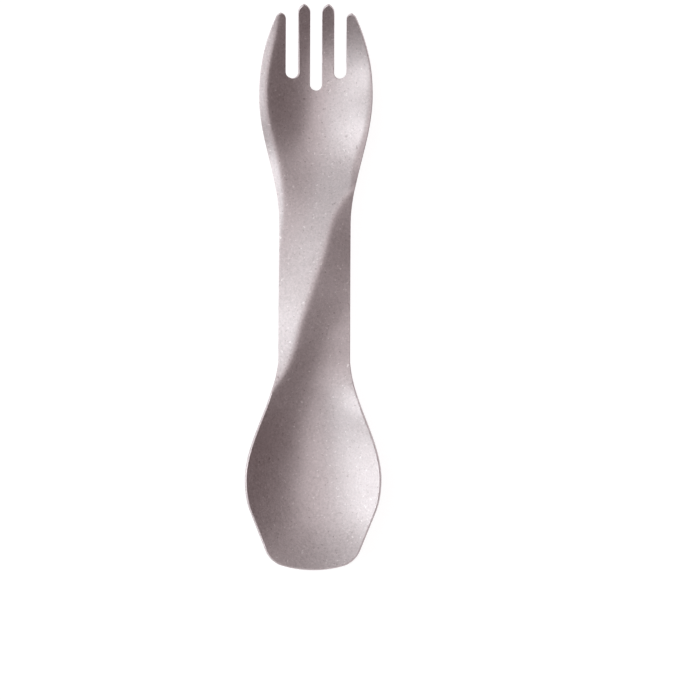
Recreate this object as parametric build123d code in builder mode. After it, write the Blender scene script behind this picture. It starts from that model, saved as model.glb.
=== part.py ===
from build123d import *

import os

import numpy as np

# A picnic spoon and fork stamped in one piece from titanium sheet.
# It lies on its back on the table: +Y points to the fork, +Z up out of the bowls, +X to the right when
# it is seen from above. The origin is on the table, under the middle of the plan.

# ---- driving dimensions, mm ----
SHEET = 1.0  # thickness of the sheet
SPOON_REACH = 82.5  # from the middle of the handle to the spoon's tip
FORK_REACH = 82.55  # from the middle of the handle to the points of the middle tines
HANDLE_WIDTH = 21.0
SPOON_WIDTH = 40.0
FORK_WIDTH = 33.2

# spoon, in plan
SPOON_NECK_Y = -20.0  # where the handle's straight side ends
SPOON_WIDEST_Y = -56.0
SPOON_SIDE_X = SPOON_WIDTH / 2 - 1.6  # where the straight, tapering side begins
SPOON_SIDE_Y = -65.5
TIP_CURVE = 32.0  # radius of the nearly flat tip
TIP_CORNER_X = SPOON_WIDTH / 2 - 7.4  # where the side and the tip's curve would meet
TIP_CORNER = 8.0  # radius of that corner

# fork, in plan
FORK_NECK_Y = 18.5
FORK_WIDEST_Y = 55.5
FORK_TAPER = 5.5  # how far each side has closed in by the height of the outer tips
OUTER_TIP_X = 10.25
OUTER_TIP_Y = FORK_REACH - 2.75
SLOT_WIDTH = 3.37
TINE_PITCH = 7.05
MIDDLE_SLOT_END_Y = FORK_REACH - 25.05  # the bottom of the middle slot
OUTER_SLOT_END_Y = FORK_REACH - 21.55
POINT_LENGTH = 2.4  # the pointed end of a middle tine
OUTER_POINT_LENGTH = 1.9  # the same on an outer tine, along its inner side
POINT_SWELL = 0.35  # how far the sides of a point bow out
POINT_RADIUS = 0.4

# heights of the sheet's upper side above the table
SPOON_TIP_HEIGHT = 8.0
FORK_TIP_HEIGHT = 11.8
RIDGE_HEIGHT = 11.8  # the handle's ridge, at the middle of its length
RIDGE_FALL = 2.9  # how much lower the ridge is at the two necks
RIDGE_HALF_LENGTH = 24.0
RIDGE_SHIFT = -0.3  # how far to the right of the middle the ridge passes
RIDGE_RUN = 0.315  # its sideways run for each mm of length


def through(*stations):
    """A smooth curve through (place, value) stations: a natural cubic spline, straight past its ends."""
    place, value = np.array(sorted(stations), dtype=float).T
    gap = np.diff(place)
    slope = np.diff(value) / gap
    bend = np.zeros(len(place))
    inner = np.diag(2 * (gap[:-1] + gap[1:])) + np.diag(gap[1:-1], 1) + np.diag(gap[1:-1], -1)
    bend[1:-1] = np.linalg.solve(inner, 6 * np.diff(slope))
    first_slope = slope[0] - gap[0] * bend[1] / 6
    last_slope = slope[-1] + gap[-1] * bend[-2] / 6

    def curve(at):
        i = np.clip(np.searchsorted(place, at) - 1, 0, len(gap) - 1)
        inside = np.clip(at, place[0], place[-1])
        after, before, span = inside - place[i], place[i + 1] - inside, gap[i]
        return (
            (bend[i] * before**3 + bend[i + 1] * after**3) / (6 * span)
            + (value[i] / span - bend[i] * span / 6) * before
            + (value[i + 1] / span - bend[i + 1] * span / 6) * after
            + np.where(at < place[0], first_slope, last_slope) * (at - inside)
        )

    return curve


# ---- the forms that the sheet is pressed to ----
# Each end is a trough that opens out into a bowl, and the handle's ridge is where the two troughs meet.
# A trough is described looking from the middle of the handle towards its own bowl, with the ridge on
# its inner side, so one description serves both ends. A station holds the distance from the middle,
# the floor's place sideways, the slopes of the inner and outer walls, and the width of the round floor.
HANDLE_STATIONS = (
    (24, -1.2, 0.44, 0.14, 5.5),
    (15, -4.5, 0.42, 0.0, 6.2),
    (7, -9.5, 0.42, 0.0, 7.0),
    (0, -14.0, 0.41, 0.0, 8.0),
    (-10, -19.0, 0.47, 0.0, 8.0),
    (-24, -24.0, 0.38, 0.0, 8.0),
)
SPOON_STATIONS = (
    (84, 0.0, 0.33, 0.33, 18.0),
    (70, -0.5, 0.7, 0.66, 16.0),
    (55, -0.5, 0.76, 0.76, 13.0),
    (42, -0.3, 0.74, 0.72, 10.0),
    (33, -0.9, 0.55, 0.57, 7.0),
)
FORK_STATIONS = (
    (84, 0.4, 0.45, 0.48, 14.0),
    (75, 1.0, 0.5, 0.6, 8.0),
    (61, 1.0, 0.52, 0.68, 7.3),
    (48, 0.4, 0.6, 0.62, 6.0),
    (37, -0.3, 0.47, 0.43, 7.0),
)
# The floor's height along each bowl. Past the other end of the ridge a trough runs out upwards.
SPOON_FLOOR = ((SPOON_REACH, SPOON_TIP_HEIGHT), (70, 3.0), (55, 1.3), (42, 2.2), (33, 3.9))
FORK_FLOOR = ((FORK_REACH, FORK_TIP_HEIGHT), (75, 6.3), (61, 1.5), (48, 1.3), (37, 2.7))
RUN_OUT = ((-34, 3.0), (-84, 40.0))


def rounded_bend(x, inner_slope, outer_slope, width):
    """Two straight walls and a round floor between them: the inner climbs to +x, the outer to -x."""
    tilt = (inner_slope - outer_slope) / 2
    steepness = (inner_slope + outer_slope) / 2
    return tilt * x + steepness * (np.hypot(x, width) - width)


def trough(bowl_stations, bowl_floor, side):
    """The upper side of one end's trough, as a function of the places sideways and along it."""
    stations = bowl_stations + HANDLE_STATIONS
    place, inner, outer, width = (through(*[(s[0], s[k]) for s in stations]) for k in (1, 2, 3, 4))
    handle_floor = []
    for along, *wall in HANDLE_STATIONS:
        ridge_place = side * RIDGE_SHIFT + RIDGE_RUN * along
        ridge_height = RIDGE_HEIGHT - RIDGE_FALL * (along / RIDGE_HALF_LENGTH) ** 2
        handle_floor.append((along, ridge_height - rounded_bend(ridge_place - wall[0], *wall[1:])))
    last = handle_floor[-1][1]
    floor = through(*bowl_floor, *handle_floor, *[(along, last + rise) for along, rise in RUN_OUT])
    dip = floor(np.linspace(bowl_floor[-1][0], bowl_floor[0][0], 200)).min() - SHEET
    return lambda x, y: floor(y) - dip + rounded_bend(x - place(y), inner(y), outer(y), width(y))


spoon_trough = trough(SPOON_STATIONS, SPOON_FLOOR, -1)
fork_trough = trough(FORK_STATIONS, FORK_FLOOR, 1)

# The fork's rims are folded down along a line inside each edge. First the width of each flange and
# then the change of slope at its fold, along the fork.
LEFT_FLANGE = through(
    (82, 0.0), (74, 1.9), (60, 2.2), (45, 2.5), (35, 2.6), (25, 1.8), (14, 0.4), (8, -0.4)
)
LEFT_FOLD = through((82, 0.7), (70, 0.9), (50, 0.95), (35, 0.8), (24, 0.6), (10, 0.5))
RIGHT_FLANGE = through(
    (70, -0.8), (60, 0.6), (50, 1.4), (42, 1.6), (37, 2.2), (31, 1.7), (24, 0.3), (18, -0.6)
)
RIGHT_FOLD = 0.5


def fork_half_width(y):
    """Half the fork's width at its edge: it swells from the handle, then closes in to the outer tips."""
    swell = np.clip((y - FORK_NECK_Y) / (FORK_WIDEST_Y - FORK_NECK_Y), 0.0, 1.0)
    taper = np.clip((y - FORK_WIDEST_Y) / (OUTER_TIP_Y - FORK_WIDEST_Y), 0.0, 1.3)
    smooth = 3 * swell**2 - 2 * swell**3
    return HANDLE_WIDTH / 2 + (FORK_WIDTH - HANDLE_WIDTH) / 2 * smooth - FORK_TAPER * taper**2.2


def spoon_form(x, y):
    return spoon_trough(-x, -y)


def left_flange_form(x, y):
    past_fold = -x - fork_half_width(y) + LEFT_FLANGE(y)
    return fork_trough(x, y) - LEFT_FOLD(y) * past_fold


def right_flange_form(x, y):
    past_fold = x - fork_half_width(y) + RIGHT_FLANGE(y)
    return fork_trough(x, y) - RIGHT_FOLD * past_fold


# The sheet's upper side is the lowest of these at every place.
FORMS = (spoon_form, fork_trough, left_flange_form, right_flange_form)
FORM_X = np.linspace(-SPOON_WIDTH / 2 - 2, SPOON_WIDTH / 2 + 2, 15)
FORM_Y = np.linspace(-SPOON_REACH - 3, FORK_REACH + 3, 45)
BLANK_DEPTH = 8 * RIDGE_HEIGHT  # well clear of the forms, even where a trough runs out upwards


def form_face(form, depth):
    """A form's face, moved into the sheet by a depth, square to itself."""
    x, y = np.meshgrid(FORM_X, FORM_Y, indexing="ij")
    step = 0.01
    rise_x = (form(x + step, y) - form(x - step, y)) / (2 * step)
    rise_y = (form(x, y + step) - form(x, y - step)) / (2 * step)
    into = depth / np.sqrt(1 + rise_x**2 + rise_y**2)
    rows = np.stack([x + into * rise_x, y + into * rise_y, form(x, y) - into], -1)
    points = [[tuple(point) for point in row] for row in rows.tolist()]
    return Face.make_surface_from_array_of_points(points)


def below(form, depth):
    """The space under a form's face."""
    return Solid.extrude(form_face(form, depth), Vector(0, 0, -3 * BLANK_DEPTH))


# ---- the plan ----
CLOSE = 0.01  # within this, two places are the same one
SLOTS = (
    (-TINE_PITCH, OUTER_SLOT_END_Y),
    (0, MIDDLE_SLOT_END_Y),
    (TINE_PITCH, OUTER_SLOT_END_Y),
)
half_handle = HANDLE_WIDTH / 2
half_spoon = SPOON_WIDTH / 2
half_fork = FORK_WIDTH / 2
half_slot = SLOT_WIDTH / 2
tip_corner_y = TIP_CURVE - SPOON_REACH - (TIP_CURVE**2 - TIP_CORNER_X**2) ** 0.5
tip_corner = Vector(TIP_CORNER_X, tip_corner_y)
side_start = Vector(SPOON_SIDE_X, SPOON_SIDE_Y)
side_pull = (side_start - tip_corner).normalized() * (SPOON_WIDEST_Y - SPOON_SIDE_Y) / 3
spoon_pull = (SPOON_NECK_Y - SPOON_WIDEST_Y) / 3
fork_pull = (FORK_WIDEST_Y - FORK_NECK_Y) / 3
middle_tip = Vector(TINE_PITCH / 2, FORK_REACH)
outer_tip = Vector(OUTER_TIP_X, OUTER_TIP_Y)
inner_shoulder = Vector(half_slot, FORK_REACH - POINT_LENGTH)
middle_shoulder = Vector(TINE_PITCH - half_slot, FORK_REACH - POINT_LENGTH)
outer_shoulder = Vector(TINE_PITCH + half_slot, OUTER_TIP_Y - OUTER_POINT_LENGTH)
outside_y = OUTER_TIP_Y - POINT_LENGTH / 2
outside = Vector(float(fork_half_width(outside_y)), outside_y)


def point_side(start, end, swell=POINT_SWELL):
    """One bowed side of a tine's point."""
    chord = end - start
    return ThreePointArc(start, start + chord / 2 + Vector(-chord.Y, chord.X).normalized() * swell, end)


with BuildPart() as under_sheet:
    with BuildSketch(Plane.XY.offset(-2 * SHEET)):
        Rectangle(FORM_X[-1] * 2 - 1, FORM_Y[-1] * 2 - 1)
    extrude(amount=BLANK_DEPTH)
    for form in FORMS:
        add(below(form, SHEET), mode=Mode.INTERSECT)

with BuildPart() as utensil:
    with BuildSketch(Plane.XY.offset(-SHEET)) as plan:
        with BuildLine():
            Line((0, inner_shoulder.Y), inner_shoulder)
            point_side(inner_shoulder, middle_tip)
            point_side(middle_tip, middle_shoulder)
            Line(middle_shoulder, outer_shoulder)
            point_side(outer_shoulder, outer_tip)
            point_side(outer_tip, outside, POINT_SWELL / 3)
            Spline(*[(float(fork_half_width(y)), y) for y in np.linspace(outside_y, FORK_WIDEST_Y, 6)])
            Bezier(
                (half_fork, FORK_WIDEST_Y),
                (half_fork, FORK_WIDEST_Y - fork_pull),
                (half_handle, FORK_NECK_Y + fork_pull),
                (half_handle, FORK_NECK_Y),
            )
            Line((half_handle, FORK_NECK_Y), (half_handle, SPOON_NECK_Y))
            Bezier(
                (half_handle, SPOON_NECK_Y),
                (half_handle, SPOON_NECK_Y - spoon_pull),
                (half_spoon, SPOON_WIDEST_Y + spoon_pull),
                (half_spoon, SPOON_WIDEST_Y),
            )
            Bezier(
                (half_spoon, SPOON_WIDEST_Y),
                (half_spoon, SPOON_WIDEST_Y - side_pull.length),
                side_start + side_pull,
                side_start,
            )
            Line(side_start, tip_corner)
            RadiusArc(tip_corner, (0, -SPOON_REACH), TIP_CURVE)
            mirror(about=Plane.YZ)
        make_face()
        spoon_corners = plan.vertices().filter_by(lambda v: abs(v.Y - tip_corner.Y) < CLOSE)
        fillet(spoon_corners, TIP_CORNER)
        tips = plan.vertices().filter_by(lambda v: v.Y > FORK_REACH - CLOSE or abs(v.Y - OUTER_TIP_Y) < CLOSE)
        fillet(tips, POINT_RADIUS)
        for slot_x, end_y in SLOTS:
            with Locations((slot_x, end_y + half_slot)):
                Circle(half_slot, mode=Mode.SUBTRACT)
                Rectangle(SLOT_WIDTH, FORK_REACH, align=(Align.CENTER, Align.MIN), mode=Mode.SUBTRACT)
    extrude(amount=BLANK_DEPTH)
    for form in FORMS:
        add(below(form, 0), mode=Mode.INTERSECT)
    add(under_sheet.part, mode=Mode.SUBTRACT)

utensil.part.label = "spoon_and_fork"
os.makedirs("parts", exist_ok=True)
export_step(utensil.part, "parts/spoon_and_fork.step")
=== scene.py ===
import math

import bpy
import numpy as np
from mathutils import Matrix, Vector
from mathutils.geometry import delaunay_2d_cdt
from mathutils.kdtree import KDTree


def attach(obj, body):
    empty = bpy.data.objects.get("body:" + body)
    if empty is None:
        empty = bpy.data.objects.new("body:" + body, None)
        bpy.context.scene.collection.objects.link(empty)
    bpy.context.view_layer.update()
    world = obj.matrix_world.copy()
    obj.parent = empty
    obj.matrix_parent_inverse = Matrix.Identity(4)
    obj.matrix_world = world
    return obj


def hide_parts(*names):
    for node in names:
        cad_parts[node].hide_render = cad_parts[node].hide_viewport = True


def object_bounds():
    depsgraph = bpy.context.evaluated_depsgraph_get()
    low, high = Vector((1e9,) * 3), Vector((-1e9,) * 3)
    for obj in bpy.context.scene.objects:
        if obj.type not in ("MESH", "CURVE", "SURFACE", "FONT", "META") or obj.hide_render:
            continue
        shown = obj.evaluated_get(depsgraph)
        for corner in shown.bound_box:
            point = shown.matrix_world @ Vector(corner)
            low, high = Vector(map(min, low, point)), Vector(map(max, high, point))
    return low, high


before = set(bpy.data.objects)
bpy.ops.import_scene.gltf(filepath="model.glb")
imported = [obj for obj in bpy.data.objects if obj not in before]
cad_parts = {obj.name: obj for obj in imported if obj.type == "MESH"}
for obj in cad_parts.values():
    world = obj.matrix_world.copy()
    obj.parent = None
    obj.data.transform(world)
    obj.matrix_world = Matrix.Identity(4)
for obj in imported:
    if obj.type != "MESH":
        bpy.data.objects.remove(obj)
cad_low, cad_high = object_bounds()

# ---- Camera ----
# The utensil is looked at from straight above through a long lens, with the fork away from the viewer.
# It lies a little left of the middle of the view and leans very slightly to the right.
MM = 0.001
cad_length = cad_high.y - cad_low.y
VIEW_WIDTH = 1.239 * cad_length
VIEW_CENTRE = (0.0634 * cad_length, -0.1104 * cad_length)
VIEW_TURN = math.radians(0.39)
CAMERA_HEIGHT = 2.0

camera_data = bpy.data.cameras.new("camera")
camera_data.lens = camera_data.sensor_width * CAMERA_HEIGHT / VIEW_WIDTH
camera = bpy.data.objects.new("camera", camera_data)
camera.location = (*VIEW_CENTRE, CAMERA_HEIGHT)
camera.rotation_euler = (0, 0, VIEW_TURN)
bpy.context.collection.objects.link(camera)
bpy.context.scene.camera = camera
bpy.context.scene.view_settings.view_transform = "Standard"

# ---- Table and light ----
# A pale table that glows, as an opal light table does, so that the utensil's shadow is faint.
# Large soft boxes stand round it: the brightest at the left, and the right side of the room is dark.
TABLE_SIDE = 400.0

table_mesh = bpy.data.meshes.new("table")
half_table = TABLE_SIDE / 2
table_corners = [(-half_table, -half_table, 0), (half_table, -half_table, 0)]
table_corners += [(half_table, half_table, 0), (-half_table, half_table, 0)]
table_mesh.from_pydata(table_corners, [], [(0, 1, 2, 3)])
table = bpy.data.objects.new("table", table_mesh)
bpy.context.collection.objects.link(table)

table_material = bpy.data.materials.new("opal_table")
table_material.use_nodes = True
table_shader = table_material.node_tree.nodes["Principled BSDF"]
table_shader.inputs["Base Color"].default_value = (0.3, 0.3, 0.3, 1)
table_shader.inputs["Roughness"].default_value = 0.9
table_shader.inputs["Specular IOR Level"].default_value = 0.1
table_shader.inputs["Emission Color"].default_value = (1, 1, 1, 1)
table_shader.inputs["Emission Strength"].default_value = 0.86
table_mesh.materials.append(table_material)

room = bpy.data.worlds.new("room")
room.use_nodes = True
room.node_tree.nodes["Background"].inputs["Color"].default_value = (1, 0.62, 0.6, 1)
room.node_tree.nodes["Background"].inputs["Strength"].default_value = 0.1
bpy.context.scene.world = room


def soft_box(name, bearing, height_angle, side, strength, colour=(1, 1, 1), distance=1.2):
    """A square soft box that faces the utensil. Bearing is counted from +X towards +Y, in degrees."""
    turn, rise = math.radians(bearing), math.radians(height_angle)
    towards = Vector((math.cos(turn) * math.cos(rise), math.sin(turn) * math.cos(rise), math.sin(rise)))
    data = bpy.data.lights.new(name, "AREA")
    data.size = side
    data.energy = strength
    data.color = colour
    light = bpy.data.objects.new(name, data)
    light.location = towards * distance
    light.rotation_euler = towards.to_track_quat("Z", "Y").to_euler()
    bpy.context.collection.objects.link(light)


COOL_WHITE = (0.9, 1.0, 1.0)
soft_box("overhead_box", 90, 88, 1.6, 7.6)
soft_box("left_box", 184, 34, 1.0, 3.9, COOL_WHITE)
soft_box("low_left_box", 180, 20, 0.6, 4.4, COOL_WHITE)
soft_box("back_left_box", 124, 30, 0.8, 1.8, COOL_WHITE)

# ---- Spoon and fork: the pressed form ----
# One piece of titanium sheet. Each end is pressed into a trough that opens out into a bowl, and the
# handle's slanting ridge is where the two troughs meet. The fork's rims are folded down.
SHEET = 1.0
SPOON_TIP_HEIGHT = 8.0
FORK_TIP_HEIGHT = 11.8
RIDGE_HEIGHT = 11.8
RIDGE_FALL = 2.9
RIDGE_HALF_LENGTH = 24.0
RIDGE_SHIFT = -0.3
RIDGE_RUN = 0.315
RIDGE_ROUND = 0.35  # how far the press leaves the ridge below a sharp edge
FOLD_ROUND = 0.6  # half the width over which a rim's fold turns
HANDLE_WIDTH = 21.0
FORK_NECK_Y = 18.5
FORK_WIDEST_Y = 55.5
FORK_WIDTH = 33.2
FORK_TAPER = 5.5
OUTER_TIP_Y = 79.8
SPOON_REACH = -cad_low.y / MM
FORK_REACH = cad_high.y / MM
SPOON_WIDTH = (cad_high.x - cad_low.x) / MM


def through(*stations):
    """A smooth curve through (place, value) stations: a natural cubic spline, straight past its ends."""
    place, value = np.array(sorted(stations), dtype=float).T
    gap = np.diff(place)
    slope = np.diff(value) / gap
    bend = np.zeros(len(place))
    inner = np.diag(2 * (gap[:-1] + gap[1:])) + np.diag(gap[1:-1], 1) + np.diag(gap[1:-1], -1)
    bend[1:-1] = np.linalg.solve(inner, 6 * np.diff(slope))
    first_slope = slope[0] - gap[0] * bend[1] / 6
    last_slope = slope[-1] + gap[-1] * bend[-2] / 6

    def curve(at):
        i = np.clip(np.searchsorted(place, at) - 1, 0, len(gap) - 1)
        inside = np.clip(at, place[0], place[-1])
        after, before, span = inside - place[i], place[i + 1] - inside, gap[i]
        return (
            (bend[i] * before**3 + bend[i + 1] * after**3) / (6 * span)
            + (value[i] / span - bend[i] * span / 6) * before
            + (value[i + 1] / span - bend[i + 1] * span / 6) * after
            + np.where(at < place[0], first_slope, last_slope) * (at - inside)
        )

    return curve


# A station holds the distance from the middle of the handle, the floor's place sideways, the slopes
# of the inner and outer walls, and the width of the round floor between them.
HANDLE_STATIONS = (
    (24, -1.2, 0.44, 0.14, 5.5),
    (15, -4.5, 0.42, 0.0, 6.2),
    (7, -9.5, 0.42, 0.0, 7.0),
    (0, -14.0, 0.41, 0.0, 8.0),
    (-10, -19.0, 0.47, 0.0, 8.0),
    (-24, -24.0, 0.38, 0.0, 8.0),
)
SPOON_STATIONS = (
    (84, 0.0, 0.33, 0.33, 18.0),
    (70, -0.5, 0.7, 0.66, 16.0),
    (55, -0.5, 0.76, 0.76, 13.0),
    (42, -0.3, 0.74, 0.72, 10.0),
    (33, -0.9, 0.55, 0.57, 7.0),
)
FORK_STATIONS = (
    (84, 0.4, 0.45, 0.48, 14.0),
    (75, 1.0, 0.5, 0.6, 8.0),
    (61, 1.0, 0.52, 0.68, 7.3),
    (48, 0.4, 0.6, 0.62, 6.0),
    (37, -0.3, 0.47, 0.43, 7.0),
)
SPOON_FLOOR = ((SPOON_REACH, SPOON_TIP_HEIGHT), (70, 3.0), (55, 1.3), (42, 2.2), (33, 3.9))
FORK_FLOOR = ((FORK_REACH, FORK_TIP_HEIGHT), (75, 6.3), (61, 1.5), (48, 1.3), (37, 2.7))
RUN_OUT = ((-34, 3.0), (-84, 40.0))


def rounded_bend(x, inner_slope, outer_slope, width):
    """Two straight walls and a round floor between them: the inner climbs to +x, the outer to -x."""
    tilt = (inner_slope - outer_slope) / 2
    steepness = (inner_slope + outer_slope) / 2
    return tilt * x + steepness * (np.hypot(x, width) - width)


def trough(bowl_stations, bowl_floor, side):
    """The upper side of one end's trough, as a function of the places sideways and along it."""
    stations = bowl_stations + HANDLE_STATIONS
    place, inner, outer, width = (through(*[(s[0], s[k]) for s in stations]) for k in (1, 2, 3, 4))
    handle_floor = []
    for along, *wall in HANDLE_STATIONS:
        ridge_place = side * RIDGE_SHIFT + RIDGE_RUN * along
        ridge_height = RIDGE_HEIGHT - RIDGE_FALL * (along / RIDGE_HALF_LENGTH) ** 2
        handle_floor.append((along, ridge_height - rounded_bend(ridge_place - wall[0], *wall[1:])))
    last = handle_floor[-1][1]
    floor = through(*bowl_floor, *handle_floor, *[(along, last + rise) for along, rise in RUN_OUT])
    dip = floor(np.linspace(bowl_floor[-1][0], bowl_floor[0][0], 200)).min() - SHEET
    return lambda x, y: floor(y) - dip + rounded_bend(x - place(y), inner(y), outer(y), width(y))


spoon_trough = trough(SPOON_STATIONS, SPOON_FLOOR, -1)
fork_trough = trough(FORK_STATIONS, FORK_FLOOR, 1)

# The widths of the folded rims along the fork, and the change of slope at their folds.
LEFT_FLANGE = through(
    (82, 0.0), (74, 1.9), (60, 2.2), (45, 2.5), (35, 2.6), (25, 1.8), (14, 0.4), (8, -0.4)
)
LEFT_FOLD = through((82, 0.7), (70, 0.9), (50, 0.95), (35, 0.8), (24, 0.6), (10, 0.5))
RIGHT_FLANGE = through(
    (70, -0.8), (60, 0.6), (50, 1.4), (42, 1.6), (37, 2.2), (31, 1.7), (24, 0.3), (18, -0.6)
)
RIGHT_FOLD = 0.5


def fork_half_width(y):
    """Half the fork's width at its edge: it swells from the handle, then closes in to the outer tips."""
    swell = np.clip((y - FORK_NECK_Y) / (FORK_WIDEST_Y - FORK_NECK_Y), 0.0, 1.0)
    taper = np.clip((y - FORK_WIDEST_Y) / (OUTER_TIP_Y - FORK_WIDEST_Y), 0.0, 1.3)
    smooth = 3 * swell**2 - 2 * swell**3
    return HANDLE_WIDTH / 2 + (FORK_WIDTH - HANDLE_WIDTH) / 2 * smooth - FORK_TAPER * taper**2.2


def past_fold(distance):
    """The distance past a fold, nought before it, with the turn rounded."""
    return (distance + np.hypot(distance, FOLD_ROUND)) / 2


def upper_side(x, y):
    """The height of the sheet's upper side, in mm."""
    spoon_side = spoon_trough(-x, -y)
    fork_side = fork_trough(x, y)
    fork_side -= LEFT_FOLD(y) * past_fold(-x - fork_half_width(y) + LEFT_FLANGE(y))
    fork_side -= RIGHT_FOLD * past_fold(x - fork_half_width(y) + RIGHT_FLANGE(y))
    return (spoon_side + fork_side) / 2 - np.hypot((spoon_side - fork_side) / 2, RIDGE_ROUND)


def slopes(plan):
    """How steeply the upper side rises along x and along y."""
    x, y = plan.T
    step = 0.02
    rise_x = (upper_side(x + step, y) - upper_side(x - step, y)) / (2 * step)
    rise_y = (upper_side(x, y + step) - upper_side(x, y - step)) / (2 * step)
    return np.stack([rise_x, rise_y], -1)


def square_to_sheet(plan):
    """The upward direction square to the sheet."""
    up = np.concatenate([-slopes(plan), np.ones((len(plan), 1))], 1)
    return up / np.linalg.norm(up, axis=1)[:, None]


# ---- Spoon and fork: the blank's outline ----
# The sheet is cut out before it is pressed: a squared spoon tip, a straight-sided handle and four
# tines with blunt points, parted by three slots with round ends.
SPOON_NECK_Y = -20.0
SPOON_WIDEST_Y = -56.0
SPOON_SIDE = (18.4, -65.5)
TIP_CURVE = 32.0
TIP_CORNER_X = 12.6
TIP_CORNER = 8.0
OUTER_TIP_X = 10.25
SLOT_WIDTH = 3.37
TINE_PITCH = 7.05
MIDDLE_SLOT_END_Y = 57.5
OUTER_SLOT_END_Y = 61.0
POINT_LENGTH = 2.4
OUTER_POINT_LENGTH = 1.9
POINT_SWELL = 0.35
POINT_RADIUS = 0.4
OUTLINE_STEP = 0.2
CURVE_POINTS = 60  # on each run, arc or curve, before they are spaced evenly


def run(start, end, swell=0.0):
    """Points from start to end, on a straight line or on one that bows out to its left."""
    start, end = np.array(start, dtype=float), np.array(end, dtype=float)
    along = end - start
    left = np.array([-along[1], along[0]]) / np.linalg.norm(along)
    t = np.linspace(0, 1, CURVE_POINTS)[:, None]
    return start + along * t + left * 4 * swell * t * (1 - t)


def arc(centre, radius, from_angle, to_angle):
    """Points round a centre, with the angles in radians."""
    angle = np.linspace(from_angle, to_angle, CURVE_POINTS)
    return np.array(centre) + radius * np.stack([np.cos(angle), np.sin(angle)], -1)


def bezier(*handles):
    """Points on a cubic curve between the first and the last handle."""
    t = np.linspace(0, 1, CURVE_POINTS)[:, None]
    a, b, c, d = np.array(handles, dtype=float)
    return (1 - t) ** 3 * a + 3 * (1 - t) ** 2 * t * b + 3 * (1 - t) * t**2 * c + t**3 * d


def round_corner(first, second, radius):
    """Two runs that meet at a corner, joined by an arc."""
    corner = first[-1]
    back = first[-1 - len(first) // 4] - corner
    on = second[len(second) // 4] - corner
    back, on = back / np.linalg.norm(back), on / np.linalg.norm(on)
    half_angle = math.acos(back @ on) / 2
    inward = (back + on) / np.linalg.norm(back + on)
    centre = corner + inward * radius / math.sin(half_angle)
    reach = radius / math.tan(half_angle)
    start_angle = math.atan2(*(corner + back * reach - centre)[::-1])
    turn = math.atan2(*(corner + on * reach - centre)[::-1]) - start_angle
    turn = (turn + math.pi) % (2 * math.pi) - math.pi
    first = first[np.linalg.norm(first - corner, axis=1) > reach]
    second = second[np.linalg.norm(second - corner, axis=1) > reach]
    return np.concatenate([first, arc(centre, radius, start_angle, start_angle + turn), second])


half_handle = HANDLE_WIDTH / 2
half_spoon = SPOON_WIDTH / 2
half_fork = FORK_WIDTH / 2
half_slot = SLOT_WIDTH / 2
middle_tip = (TINE_PITCH / 2, FORK_REACH)
outer_tip = (OUTER_TIP_X, OUTER_TIP_Y)
shoulder_y = FORK_REACH - POINT_LENGTH
outside_y = OUTER_TIP_Y - POINT_LENGTH / 2
taper_y = np.linspace(outside_y, FORK_WIDEST_Y, CURVE_POINTS)
tip_corner = (TIP_CORNER_X, TIP_CURVE - SPOON_REACH - (TIP_CURVE**2 - TIP_CORNER_X**2) ** 0.5)
side_way = np.array(SPOON_SIDE) - tip_corner
side_pull = (SPOON_WIDEST_Y - SPOON_SIDE[1]) / 3
side_handle = np.array(SPOON_SIDE) + side_way / np.linalg.norm(side_way) * side_pull
spoon_pull = (SPOON_NECK_Y - SPOON_WIDEST_Y) / 3
fork_pull = (FORK_WIDEST_Y - FORK_NECK_Y) / 3
fork_swell = ((half_fork, FORK_WIDEST_Y), (half_fork, FORK_WIDEST_Y - fork_pull))
fork_swell += ((half_handle, FORK_NECK_Y + fork_pull), (half_handle, FORK_NECK_Y))
spoon_swell = ((half_handle, SPOON_NECK_Y), (half_handle, SPOON_NECK_Y - spoon_pull))
spoon_swell += ((half_spoon, SPOON_WIDEST_Y + spoon_pull), (half_spoon, SPOON_WIDEST_Y))
spoon_close = ((half_spoon, SPOON_WIDEST_Y), (half_spoon, SPOON_WIDEST_Y - side_pull))
spoon_close += (side_handle, SPOON_SIDE)
tip_half_turn = math.asin(TIP_CORNER_X / TIP_CURVE)

right_half = np.concatenate(
    [
        arc((0, MIDDLE_SLOT_END_Y + half_slot), half_slot, -math.pi / 2, 0),
        round_corner(
            run((half_slot, shoulder_y), middle_tip, POINT_SWELL),
            run(middle_tip, (TINE_PITCH - half_slot, shoulder_y), POINT_SWELL),
            POINT_RADIUS,
        ),
        arc((TINE_PITCH, OUTER_SLOT_END_Y + half_slot), half_slot, -math.pi, 0),
        round_corner(
            run((TINE_PITCH + half_slot, OUTER_TIP_Y - OUTER_POINT_LENGTH), outer_tip, POINT_SWELL),
            run(outer_tip, (float(fork_half_width(outside_y)), outside_y), POINT_SWELL / 3),
            POINT_RADIUS,
        ),
        np.stack([fork_half_width(taper_y), taper_y], -1),
        bezier(*fork_swell),
        bezier(*spoon_swell),
        bezier(*spoon_close),
        round_corner(
            run(SPOON_SIDE, tip_corner),
            arc((0, TIP_CURVE - SPOON_REACH), TIP_CURVE, tip_half_turn - math.pi / 2, -math.pi / 2),
            TIP_CORNER,
        ),
    ]
)
whole = np.concatenate([right_half * (-1, 1), right_half[::-1]])
travelled = np.append(0, np.cumsum(np.linalg.norm(np.diff(whole, axis=0), axis=1)))
even = np.linspace(0, travelled[-1], int(travelled[-1] / OUTLINE_STEP), endpoint=False)
outline = np.stack([np.interp(even, travelled, whole[:, k]) for k in (0, 1)], -1)

# ---- Spoon and fork: the sheet ----
# Both sides of the sheet and its cut edge, which stays square to the sheet where a rim climbs and is
# tumbled round afterwards.
EDGE_ROUND = 0.24
EDGE_STEPS = 5
OUTWARD_SPREAD = 4
GRAIN_OF_MESH = 0.55
CLEAR_OF_EDGE = 0.3
SAME_PLACE = 1e-6

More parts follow.
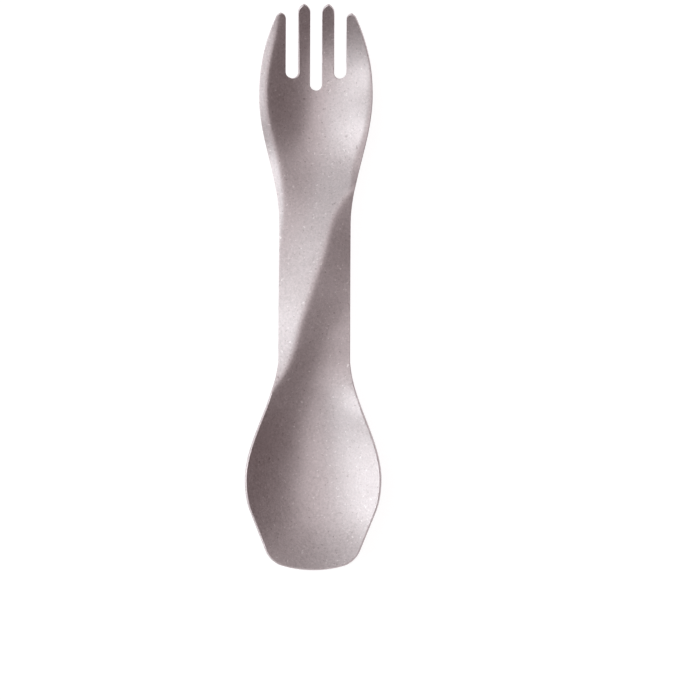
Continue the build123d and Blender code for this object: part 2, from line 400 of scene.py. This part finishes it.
outward = np.roll(outline, -1, axis=0) - np.roll(outline, 1, axis=0)
outward = np.stack([outward[:, 1], -outward[:, 0]], -1)
for _ in range(2):
    outward = sum(np.roll(outward, k, axis=0) for k in range(-OUTWARD_SPREAD, OUTWARD_SPREAD + 1))
outward /= np.linalg.norm(outward, axis=1)[:, None]

lean = np.clip(-(square_to_sheet(outline)[:, :2] * outward).sum(1), 0, None) * SHEET
rim = outline - outward * lean[:, None]
rim_up = square_to_sheet(rim)
rim_out = np.concatenate([outward, np.zeros((len(outward), 1))], 1)
rim_out -= (rim_out * rim_up).sum(1)[:, None] * rim_up
rim_out /= np.linalg.norm(rim_out, axis=1)[:, None]
rim_top = np.concatenate([rim, upper_side(*rim.T)[:, None]], 1)

ring_places, ring_normals, ring_wear = [], [], []
quarter = np.linspace(0, math.pi / 2, EDGE_STEPS)
for turn in [*quarter, *(math.pi - quarter[::-1])]:
    in_by = EDGE_ROUND * (1 - math.sin(turn))
    down_by = EDGE_ROUND * (1 - abs(math.cos(turn)))
    depth = down_by if turn <= math.pi / 2 and len(ring_places) < EDGE_STEPS else SHEET - down_by
    ring_places.append(rim_top - rim_out * in_by - rim_up * depth)
    ring_normals.append(rim_out * math.sin(turn) + rim_up * math.cos(turn))
    ring_wear.append(np.full(len(rim), math.sin(turn)))

first_ring = ring_places[0][:, :2]
spots = []
closed = np.append(first_ring, first_ring[:1], axis=0)
below, above = closed[:-1], closed[1:]
for row, y in enumerate(np.arange(-SPOON_REACH, FORK_REACH, GRAIN_OF_MESH * math.sqrt(3) / 2)):
    crossed = (below[:, 1] <= y) != (above[:, 1] <= y)
    share = (y - below[crossed, 1]) / (above[crossed, 1] - below[crossed, 1])
    crossings = np.sort(below[crossed, 0] + share * (above[crossed, 0] - below[crossed, 0]))
    row_x = np.arange(-SPOON_WIDTH / 2, SPOON_WIDTH / 2, GRAIN_OF_MESH) + GRAIN_OF_MESH / 2 * (row % 2)
    spots += [(x, y) for x in row_x if np.searchsorted(crossings, x) % 2]
edge_tree = KDTree(len(first_ring))
for i, place in enumerate(first_ring):
    edge_tree.insert((*place, 0), i)
edge_tree.balance()
spots = np.array([spot for spot in spots if edge_tree.find((*spot, 0))[2] > CLEAR_OF_EDGE])

ring_size = len(first_ring)
plan = np.concatenate([first_ring, spots])
corners = [Vector(place) for place in plan]
_, _, triangles, origins, _, _ = delaunay_2d_cdt(corners, [], [list(range(ring_size))], 1, SAME_PLACE)
origin = [found[0] for found in origins]
triangles = [[origin[i] for i in triangle] for triangle in triangles]

spots_up = square_to_sheet(spots)
spots_top = np.concatenate([spots, upper_side(*spots.T)[:, None]], 1)
places = np.concatenate([*ring_places, spots_top, spots_top - SHEET * spots_up])
places[:, 2] += max(0.0, cad_low.z / MM - places[:, 2].min())
normals = np.concatenate([*ring_normals, spots_up, -spots_up])
wear = np.concatenate([*ring_wear, np.zeros(2 * len(spots))])

rings = len(ring_places)
last_ring = (rings - 1) * ring_size
top_spots = rings * ring_size - ring_size
bottom_spots = rings * ring_size + len(spots) - ring_size
faces = []
for triangle in triangles:
    faces.append([i if i < ring_size else i + top_spots for i in triangle])
    faces.append([i + last_ring if i < ring_size else i + bottom_spots for i in reversed(triangle)])
for ring in range(rings - 1):
    for i in range(ring_size):
        j = (i + 1) % ring_size
        this, following = ring * ring_size, (ring + 1) * ring_size
        faces.append([this + i, following + i, following + j, this + j])

sheet_mesh = bpy.data.meshes.new("pressed_sheet")
sheet_mesh.from_pydata((places * MM).tolist(), [], faces)
sheet_mesh.shade_smooth()
sheet_mesh.normals_split_custom_set_from_vertices(normals.tolist())
sheet_mesh.attributes.new("edge_wear", "FLOAT", "POINT").data.foreach_set("value", wear)
utensil = bpy.data.objects.new("pressed_sheet", sheet_mesh)
bpy.context.collection.objects.link(utensil)

# ---- Spoon and fork: the blasted finish ----
# Bare titanium blasted with beads: a matte, warm grey metal with a fine grain of small dents, a few
# brighter and darker flecks, faint cloudiness from the press, and edges polished by tumbling.
titanium = bpy.data.materials.new("blasted_titanium")
titanium.use_nodes = True
nodes, links = titanium.node_tree.nodes, titanium.node_tree.links
metal = nodes["Principled BSDF"]
metal.inputs["Metallic"].default_value = 1.0
where = nodes.new("ShaderNodeTexCoord").outputs["Object"]


def noise(scale, detail=2.0, roughness=0.5, seed=0.0):
    """Soft noise with so many waves to the metre. Another seed gives another pattern."""
    node = nodes.new("ShaderNodeTexNoise")
    node.noise_dimensions = "4D"
    node.inputs["W"].default_value = seed
    node.inputs["Scale"].default_value = scale
    node.inputs["Detail"].default_value = detail
    node.inputs["Roughness"].default_value = roughness
    links.new(where, node.inputs["Vector"])
    return node.outputs["Fac"]


def spread(value, low, high, to_low, to_high):
    """A value mapped from one range to another, and kept inside it."""
    node = nodes.new("ShaderNodeMapRange")
    node.inputs["From Min"].default_value = low
    node.inputs["From Max"].default_value = high
    node.inputs["To Min"].default_value = to_low
    node.inputs["To Max"].default_value = to_high
    links.new(value, node.inputs["Value"])
    return node.outputs["Result"]


def tinted(share, first, second):
    """A blend of two colours, each given as a colour or as another node's output."""
    node = nodes.new("ShaderNodeMix")
    node.data_type = "RGBA"
    links.new(share, node.inputs["Factor"])
    for name, colour in (("A", first), ("B", second)):
        socket = next(s for s in node.inputs if s.name == name and s.type == "RGBA")
        if isinstance(colour, tuple):
            socket.default_value = colour
        else:
            links.new(colour, socket)
    return next(s for s in node.outputs if s.type == "RGBA")


GRAIN_WAVES = 1500  # to the metre
BRIGHT_WAVES = 1150
DARK_WAVES = 1300
CLOUD_WAVES = 160
SWELL_WAVES = 130
DARK_SEED = 7.0
SMOOTHEST = 0.46
ROUGHEST = 0.56
EDGE_POLISH = 0.1
SWELL_RELIEF = 0.00010
DENT_RELIEF = 0.00006
GREY = (0.52, 0.455, 0.465, 1)
CLOUDY_GREY = (0.57, 0.505, 0.52, 1)
GRAINY_GREY = (0.70, 0.62, 0.635, 1)
BRIGHT_FLECK = (0.86, 0.80, 0.81, 1)
DARK_FLECK = (0.36, 0.29, 0.30, 1)
grain = noise(GRAIN_WAVES, 4.0, 0.7)
cloud = spread(noise(CLOUD_WAVES, 5.0, 0.65), 0.35, 0.65, 0, 1)
colour = tinted(cloud, GREY, CLOUDY_GREY)
colour = tinted(spread(grain, 0.35, 0.65, 0, 1), colour, GRAINY_GREY)
colour = tinted(spread(noise(BRIGHT_WAVES, 2.0, 0.6), 0.62, 0.72, 0, 0.9), colour, BRIGHT_FLECK)
colour = tinted(spread(noise(DARK_WAVES, 2.0, 0.6, DARK_SEED), 0.62, 0.72, 0, 0.8), colour, DARK_FLECK)
links.new(colour, metal.inputs["Base Color"])

worn = nodes.new("ShaderNodeAttribute")
worn.attribute_name = "edge_wear"
roughness = nodes.new("ShaderNodeMath")
roughness.operation = "SUBTRACT"
blasting = spread(noise(GRAIN_WAVES, 3.0, 0.6), 0.3, 0.7, SMOOTHEST, ROUGHEST)
links.new(blasting, roughness.inputs[0])
links.new(spread(worn.outputs["Fac"], 0, 1, 0, EDGE_POLISH), roughness.inputs[1])
links.new(roughness.outputs[0], metal.inputs["Roughness"])


def bump(height, distance, under=None):
    """Small relief, its height given in metres."""
    node = nodes.new("ShaderNodeBump")
    node.inputs["Strength"].default_value = 1.0
    node.inputs["Distance"].default_value = distance
    links.new(height, node.inputs["Height"])
    if under is not None:
        links.new(under, node.inputs["Normal"])
    return node.outputs["Normal"]


waviness = bump(noise(SWELL_WAVES, 2.0), SWELL_RELIEF)
dents = bump(grain, DENT_RELIEF, waviness)
links.new(dents, metal.inputs["Normal"])
sheet_mesh.materials.append(titanium)

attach(utensil, "root")
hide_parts("spoon_and_fork")
